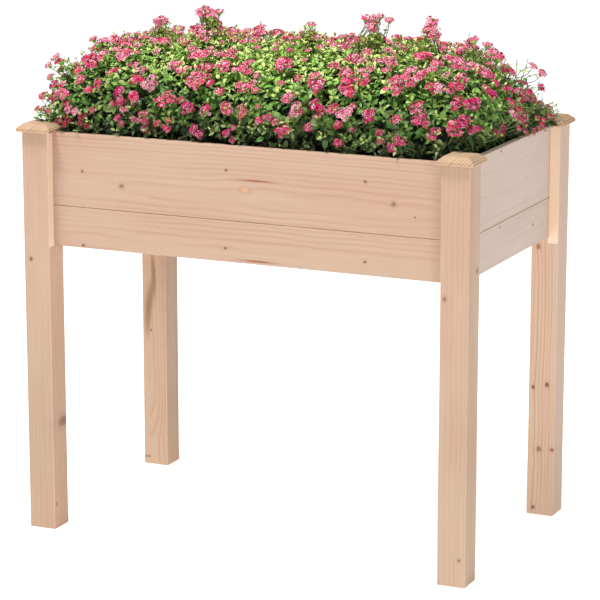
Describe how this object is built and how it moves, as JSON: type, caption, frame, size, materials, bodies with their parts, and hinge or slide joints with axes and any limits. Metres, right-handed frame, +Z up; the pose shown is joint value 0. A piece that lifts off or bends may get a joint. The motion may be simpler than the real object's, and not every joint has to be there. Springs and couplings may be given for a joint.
{
  "type": "planted raised bed",
  "caption": "Waist-high rectangular fir planter on square legs with chamfered caps and two-board walls, filled with soil and a dense mound of pink-flowering leafy bushes",
  "frame": {"origin": "on the floor under the middle of the box, between the four legs", "axes": "+Z up; the long sides run along X; the front, which the picture shows, faces -Y"},
  "size_m": [0.882, 0.526, 0.9583],
  "materials": {
    "leg_wood": "planed unfinished fir, pale pinkish, with knots and fine straight grain",
    "cap_wood": "planed unfinished fir, a little darker, grain across the chamfers",
    "board_wood": "planed unfinished fir, pale pinkish, with small pin knots and resin streaks",
    "bottom_wood": "rough sawn unfinished fir",
    "soil": "dark crumbly potting soil",
    "foliage": "green leaves with a soft sheen, lighter at the tips",
    "blossom": "matt petals from salmon pink to magenta"
  },
  "bodies": {
    "root": {"leg_front_left": "leg_wood", "leg_front_right": "leg_wood", "leg_back_left": "leg_wood", "leg_back_right": "leg_wood", "cap_front_left": "cap_wood", "cap_front_right": "cap_wood", "cap_back_left": "cap_wood", "cap_back_right": "cap_wood", "board_front_upper": "board_wood", "board_front_lower": "board_wood", "board_back_upper": "board_wood", "board_back_lower": "board_wood", "board_left_upper": "board_wood", "board_left_lower": "board_wood", "board_right_upper": "board_wood", "board_right_lower": "board_wood", "ledger_front": "bottom_wood", "ledger_back": "bottom_wood", "slat_1": "bottom_wood", "slat_2": "bottom_wood", "slat_3": "bottom_wood", "slat_4": "bottom_wood", "slat_5": "bottom_wood", "slat_6": "bottom_wood", "slat_7": "bottom_wood", "slat_8": "bottom_wood", "soil": "soil", "bush_1": "foliage", "bush_2": "foliage", "bush_3": "foliage", "bush_4": "foliage", "bush_5": "foliage", "bush_6": "foliage", "bush_7": "foliage", "bush_8": "foliage"}
  },
  "joints": []
}
